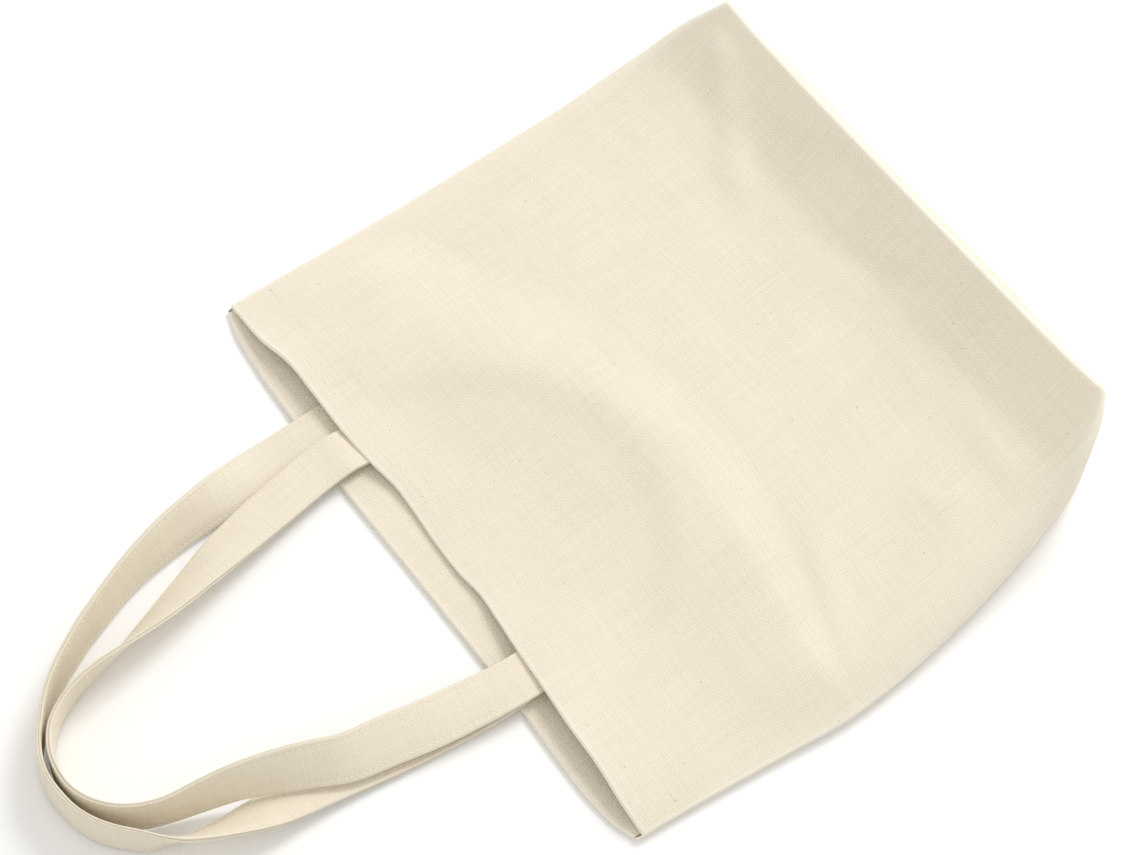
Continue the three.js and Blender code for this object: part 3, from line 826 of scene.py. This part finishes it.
def strap_piece(name, frames):
    points, forward, inward, face_up, run = frames
    ring = np.array(STRAP_PROFILE + [(-a, -b) for a, b in STRAP_PROFILE])
    around = np.concatenate([[0], np.cumsum(np.hypot(*np.diff(ring, axis=0, append=ring[:1]).T))])
    count = len(ring)
    body = points[:, None] + inward[:, None] * ring[None, :, :1] + face_up[:, None] * ring[None, :, 1:]
    corner = np.arange(len(points) * count).reshape(len(points), count)
    after = np.roll(corner, -1, axis=1)
    quads = np.stack([corner[:-1], after[:-1], after[1:], corner[1:]], -1).reshape(-1, 4)
    faces = quads.tolist() + [corner[0, ::-1].tolist(), corner[-1].tolist()]
    mesh = bpy.data.meshes.new(name)
    mesh.from_pydata(to_row(body.reshape(-1, 3)).tolist(), [], faces)
    uv = mesh.uv_layers.new(name="Cloth")
    u = np.stack([around[:-1], around[1:], around[1:], around[:-1]], 1)
    u = np.tile(u, (len(points) - 1, 1)).reshape(-1)
    v = np.stack([run[:-1], run[:-1], run[1:], run[1:]], 1).repeat(count, axis=0).reshape(-1)
    ends = np.concatenate([ring[::-1], ring])
    flat = np.concatenate([np.stack([u, v], 1), ends]) / 1000
    uv.data.foreach_set("uv", flat.astype(np.float32).ravel())
    mesh.shade_smooth()
    mesh.materials.append(STRAP_CANVAS)
    strap = into_scene(name, mesh)
    return strap


def hand_over(piece, body, handle, end_node):
    """Bakes the piece's placement into its mesh."""
    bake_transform(piece)


def build_handles():
    front = strap_frames(handle_path(FRONT_LEG_X, front_end, FRONT_LOOP), STRAP_STEP)
    strap = strap_piece("front_handle_strap", front)
    hand_over(strap, "front", "front_handle", "front_handle_left_end")
    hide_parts("front_handle", "front_handle_left_end", "front_handle_right_end")
    back = strap_frames(handle_path(BACK_LEG_X, back_end, BACK_LOOP), STRAP_STEP)
    strap = strap_piece("back_handle_strap", back)
    hand_over(strap, "bag", "back_handle", "back_handle_left_end")
    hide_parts("back_handle", "back_handle_left_end", "back_handle_right_end")
    return front, back


front_frames, back_frames = build_handles()

# --- Stitches -----------------------------------------------------------------------------------------


def stitch_tree(material):
    """Lays one stitch after another along each line of the mesh, square to its face_up direction."""
    tree = bpy.data.node_groups.new("row_of_stitches", "GeometryNodeTree")
    face = tree.interface
    face.new_socket("Geometry", in_out="INPUT", socket_type="NodeSocketGeometry")
    for label, value in (("Pitch", 0.0032), ("Stitch Length", 0.0026), ("Thread Width", 0.0005)):
        socket = face.new_socket(label, in_out="INPUT", socket_type="NodeSocketFloat")
        socket.default_value = value
    seed = face.new_socket("Seed", in_out="INPUT", socket_type="NodeSocketInt")
    seed.default_value = 3
    face.new_socket("Geometry", in_out="OUTPUT", socket_type="NodeSocketGeometry")
    node = tree.nodes.new
    link = tree.links.new
    given = node("NodeGroupInput")
    result = node("NodeGroupOutput")
    line = node("GeometryNodeMeshToCurve")
    spots = node("GeometryNodeCurveToPoints")
    spots.mode = "LENGTH"
    link(given.outputs["Geometry"], line.inputs["Mesh"])
    link(line.outputs["Curve"], spots.inputs["Curve"])
    link(given.outputs["Pitch"], spots.inputs["Length"])
    up = node("GeometryNodeInputNamedAttribute")
    up.data_type = "FLOAT_VECTOR"
    up.inputs["Name"].default_value = "face_up"
    lengthwise = node("FunctionNodeAlignRotationToVector")
    lengthwise.axis = "X"
    link(spots.outputs["Tangent"], lengthwise.inputs["Vector"])
    upright = node("FunctionNodeAlignRotationToVector")
    upright.axis = "Z"
    upright.pivot_axis = "X"
    link(lengthwise.outputs["Rotation"], upright.inputs["Rotation"])
    link(up.outputs["Attribute"], upright.inputs["Vector"])
    slant = node("FunctionNodeRandomValue")
    slant.data_type = "FLOAT"
    slant.inputs[2].default_value = -0.09
    slant.inputs[3].default_value = 0.09
    link(given.outputs["Seed"], slant.inputs["Seed"])
    turn = node("FunctionNodeAxisAngleToRotation")
    turn.inputs["Axis"].default_value = (0, 0, 1)
    link(slant.outputs[1], turn.inputs["Angle"])
    turned = node("FunctionNodeRotateRotation")
    turned.rotation_space = "LOCAL"
    link(upright.outputs["Rotation"], turned.inputs["Rotation"])
    link(turn.outputs["Rotation"], turned.inputs["Rotate By"])
    shape = node("GeometryNodeMeshUVSphere")
    shape.inputs["Segments"].default_value = 6
    shape.inputs["Rings"].default_value = 4
    shape.inputs["Radius"].default_value = 0.5
    size = node("ShaderNodeCombineXYZ")
    link(given.outputs["Stitch Length"], size.inputs["X"])
    link(given.outputs["Thread Width"], size.inputs["Y"])
    link(given.outputs["Thread Width"], size.inputs["Z"])
    place = node("GeometryNodeInstanceOnPoints")
    link(spots.outputs["Points"], place.inputs["Points"])
    link(shape.outputs["Mesh"], place.inputs["Instance"])
    link(turned.outputs["Rotation"], place.inputs["Rotation"])
    link(size.outputs["Vector"], place.inputs["Scale"])
    real = node("GeometryNodeRealizeInstances")
    finish = node("GeometryNodeSetMaterial")
    finish.inputs["Material"].default_value = material
    link(place.outputs["Instances"], real.inputs["Geometry"])
    link(real.outputs["Geometry"], finish.inputs["Geometry"])
    link(finish.outputs["Geometry"], result.inputs["Geometry"])
    return tree


STITCHES = stitch_tree(THREAD)


STITCH_SEED = 3


def stitched(name, rows, pitch=3.2, length=2.6, width=0.5):
    """A plain mesh of stitches along rows, each a pair of points and the direction up from the cloth."""
    points = np.concatenate([row[0] for row in rows])
    ups = np.concatenate([row[1] for row in rows])
    edges = []
    start = 0
    for row in rows:
        count = len(row[0])
        edges += [(start + i, start + i + 1) for i in range(count - 1)]
        start += count
    mesh = bpy.data.meshes.new(name + "_lines")
    mesh.from_pydata(to_row(points).tolist(), edges, [])
    mesh.attributes.new("face_up", "FLOAT_VECTOR", "POINT").data.foreach_set("vector", ups.ravel())
    lines = into_scene(name + "_lines", mesh)
    maker = lines.modifiers.new("stitches", "NODES")
    maker.node_group = STITCHES
    values = {
        "Pitch": pitch / 1000,
        "Stitch Length": length / 1000,
        "Thread Width": width / 1000,
        "Seed": STITCH_SEED,
    }
    for item in STITCHES.interface.items_tree:
        if item.in_out == "INPUT" and item.name in values:
            maker[item.identifier] = values[item.name]
    ready = lines.evaluated_get(bpy.context.evaluated_depsgraph_get())
    made = bpy.data.meshes.new_from_object(ready)
    made.name = name
    bpy.data.objects.remove(lines)
    made.shade_smooth()
    thread = into_scene(name, made)
    return thread


def strap_row(frames, across, side, skip=3):
    points, forward, inward, face_up, run = frames
    kept = slice(skip, len(points) - skip)
    place = points + inward * across + face_up * side * ROW_HEIGHT
    return place[kept], (face_up * side)[kept]


def build_strap_stitching():
    for name, frames, bodies, end_node in (
        ("front_handle", front_frames, ("front", "front_handle"), "front_handle_left_end"),
        ("back_handle", back_frames, ("bag", "back_handle"), "back_handle_left_end"),
    ):
        for row, across in (("inner", ROW_PLACE), ("outer", -ROW_PLACE)):
            thread = stitched(f"{name}_{row}_thread", [strap_row(frames, across, side) for side in (1, -1)])
            hand_over(thread, *bodies, end_node)
            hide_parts(f"{name}_{row}_stitching")


build_strap_stitching()


FRONT_ROW_REACH = 184  # how far a hem's stitches run to either side
BACK_ROW_REACH = 180
ROW_OVERLAP = 1.6  # by which the front hem's two rows meet past the middle
TACK_SINK = 0.08


def panel_row(mouth, inset, reach, height, steps=120):
    """A row of points on a hem, at a fixed distance from the mouth edge."""
    x = np.linspace(-reach, reach, steps)
    distance = along(mouth, x) + inset
    points = np.stack([x, distance, height(x, distance)], -1)
    return points, np.tile((0.0, 0.0, 1.0), (steps, 1))


def on_front(x, distance):
    """Just inside the front panel's outer face."""
    return front_height(x, distance) + HALF_CLOTH - SINK


def in_back_hem(x, distance):
    """Just inside the upper face of the back hem's inner layer."""
    return 0 * x + CLOTH / 2 + HEM_DROP + HALF_CLOTH - SINK


def build_hem_stitching():
    inset = HEM_DEPTH - STITCH_INSET
    points, ups = panel_row(FRONT_MOUTH, inset, FRONT_ROW_REACH, on_front)
    for sign, name in ((1, "right"), (-1, "left")):
        kept = points[:, 0] * sign > -ROW_OVERLAP
        thread = stitched(f"front_hem_thread_{name}", [(points[kept], ups[kept])], width=0.4)
        open_with_mouth(thread)
        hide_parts("front_hem_stitching")
    row = panel_row(BACK_MOUTH, inset, BACK_ROW_REACH, in_back_hem)
    thread = stitched("back_hem_thread", [row], width=0.4)
    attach(thread, "bag")


def box_cross(x, start, height, side):
    """The rows of a sewn square with both diagonals."""
    half = (corners("front_handle_left_tack")[1][0] - corners("front_handle_left_tack")[0][0]) / 2
    corner = [(-half, -half), (half, -half), (half, half), (-half, half)]
    rows = []
    for first, second in ((0, 1), (1, 2), (2, 3), (3, 0), (0, 2), (1, 3)):
        share = np.linspace(0, 1, 12)[:, None]
        flat = np.array(corner[first]) * (1 - share) + np.array(corner[second]) * share
        flat = flat + (x, start + half)
        points = np.concatenate([flat, height(flat[:, 0], flat[:, 1])[:, None]], 1)
        rows.append((points, np.tile((0.0, 0.0, side), (len(points), 1))))
    return rows


def over_front_end(x, distance):
    """On the front panel's outer face, above a sewn end."""
    return front_height(x, distance) + HALF_CLOTH - TACK_SINK


def under_front_end(x, distance):
    """On the lower face of a front handle's sewn end."""
    return front_height(x, distance) - UNDER_HEM - STRAP_HALF + SINK


def over_back_end(x, distance):
    """On the upper face of a back handle's sewn end."""
    return 0 * x + ON_HEM + STRAP_HALF - SINK


def tack_end(handle, side, body, x, faces):
    """The crossed box that holds one sewn end; faces are pairs of a height and the way it looks."""
    start = corners(f"{handle}_{side}_tack")[0][1] - MOUTH_Y
    rows = []
    for height, way in faces:
        rows += box_cross(x, start, height, way)
    thread = stitched(f"{handle}_{side}_box_stitches", rows, pitch=2.8, length=2.3, width=0.4)
    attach(thread, body)
    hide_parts(f"{handle}_{side}_tack")


def build_tacks():
    for side, x in zip(("left", "right"), FRONT_LEG_X):
        tack_end("front_handle", side, "front", x, ((over_front_end, 1.0), (under_front_end, -1.0)))
    for side, x in zip(("left", "right"), BACK_LEG_X):
        tack_end("back_handle", side, "bag", x, ((over_back_end, 1.0),))


# --- Seams inside the bag -------------------------------------------------------------------------------

ALLOWANCE = 8.5
ALLOWANCE_THICKNESS = 1.7
ALLOWANCE_GAP = 1.0  # between a seam's turned cloth and the allowance behind it
SIDE_SEAM_START = 28  # distances from the mouth line
SIDE_SEAM_END = 298
SEAM_END_COLUMNS = 5  # left clear at each end of the bottom seam


def seam_piece(name, grid, replaced):
    """A pressed seam allowance with a row of stitches along each of its faces."""
    normals = grid_normals(grid, 1)
    size = np.stack([grid[..., 3], run_down(grid)], -1)
    allowance = cloth_piece(name, grid, normals, size, ALLOWANCE_THICKNESS)
    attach(allowance, "bag")
    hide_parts(replaced)
    rows = []
    for column in (1, -2):
        for side in (1, -1):
            ups = normals[:, column] * side
            rows.append((grid[:, column, :3] + ups * ALLOWANCE_THICKNESS / 2, ups))
    return rows


def seam_thread(name, rows, replaced):
    thread = stitched(name, rows, pitch=3.0, length=2.4, width=0.4)
    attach(thread, "bag")
    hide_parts(replaced)


def build_side_seams():
    distance = np.linspace(SIDE_SEAM_START, SIDE_SEAM_END, 90)[:, None]
    inward = np.linspace(0, ALLOWANCE, SEAM_COLUMNS)[None, :]
    for sign, name, stations in ((1, "right", REACH_RIGHT), (-1, "left", REACH_LEFT)):
        x = sign * (along(stations, distance) - HALF_CLOTH - SEAM_TURN - ALLOWANCE_GAP - inward)
        rest = 0 * inward
        height = along(SEAM_HEIGHT, distance)
        grid = np.stack([x, distance + rest, height + rest, inward + 0 * distance], -1)
        rows = seam_piece(f"{name}_side_allowance", grid, f"{name}_side_seam")
        seam_thread(f"{name}_side_thread", rows, f"{name}_side_stitching")


def build_bottom_seams(top_line, floor_line):
    low, high = corners("bottom_seam")
    middle = (low[2] + high[2]) / 2
    wall = wall_grid(top_line, floor_line, middle / DEPTH, middle / DEPTH, 1)[0]
    wall = wall[SEAM_END_COLUMNS:-SEAM_END_COLUMNS]
    inward = np.linspace(0, ALLOWANCE, SEAM_COLUMNS)[None, :, None]
    grid = wall[:, None, :] - (0, 1, 0, 0) * (inward + SEAM_TURN + ALLOWANCE_GAP)
    rows = seam_piece("bottom_allowance", grid, "bottom_seam")
    seam_thread("bottom_thread", rows, "bottom_seam_stitching")
    for sign, name in ((1, "right"), (-1, "left")):
        low, high = corners(f"{name}_corner_seam")
        height = np.linspace(low[2], high[2], 30)[:, None]
        outer = np.abs([low[0], high[0]]).max()
        across = sign * (outer - np.linspace(0, ALLOWANCE, SEAM_COLUMNS)[None, :])
        distance = (low[1] + high[1]) / 2 - MOUTH_Y
        still = 0 * across + 0 * height
        grid = np.stack([across + still, distance + still, height + still, across + still], -1)
        rows = seam_piece(f"{name}_corner_allowance", grid, f"{name}_corner_seam")
        seam_thread(f"{name}_corner_thread", rows, f"{name}_corner_stitching")


build_hem_stitching()
build_tacks()
build_side_seams()
build_bottom_seams(*BOTTOM_LINES)

# --- Camera, lights and floor ---------------------------------------------------------------------------



def pale_floor():
    half, drop = 4, -0.0005
    outline = [(-half, -half, drop), (half, -half, drop), (half, half, drop), (-half, half, drop)]
    mesh = bpy.data.meshes.new("floor")
    mesh.from_pydata(outline, [], [(0, 1, 2, 3)])
    paper = bpy.data.materials.new("pale_floor")
    paper.use_nodes = True
    surface = paper.node_tree.nodes["Principled BSDF"]
    surface.inputs["Base Color"].default_value = (0.95, 0.95, 0.95, 1)
    surface.inputs["Roughness"].default_value = 1
    mesh.materials.append(paper)
    into_scene("floor", mesh)


def aim(thing, place, target):
    thing.location = place
    thing.rotation_euler = (Vector(target) - Vector(place)).to_track_quat("-Z", "Y").to_euler()


def camera():
    data = bpy.data.cameras.new("camera")
    data.lens = 75
    data.sensor_width = 36
    eye = into_scene("camera", data)
    azimuth, elevation, reach = math.radians(54), math.radians(60.5), 1.253
    target = Vector((-0.0102, -0.0622, 0.020))
    away = Vector((
        math.sin(azimuth) * math.cos(elevation),
        -math.cos(azimuth) * math.cos(elevation),
        math.sin(elevation),
    ))
    aim(eye, target + away * reach, target)
    bpy.context.scene.camera = eye


def soft_light(name, place, size, power):
    data = bpy.data.lights.new(name, "AREA")
    data.shape = "RECTANGLE"
    data.size = size
    data.size_y = size
    data.energy = power
    aim(into_scene(name, data), place, (0, 0, 0))


def studio_world():
    world = bpy.data.worlds.new("studio")
    bpy.context.scene.world = world
    world.use_nodes = True
    background = world.node_tree.nodes["Background"]
    background.inputs["Color"].default_value = (1, 0.985, 0.955, 1)
    background.inputs["Strength"].default_value = 0.83
    bpy.context.scene.view_settings.view_transform = "Standard"


pale_floor()
camera()
soft_light("key", place=(-0.6, 2.0, 2.2), size=1.2, power=49)
studio_world()
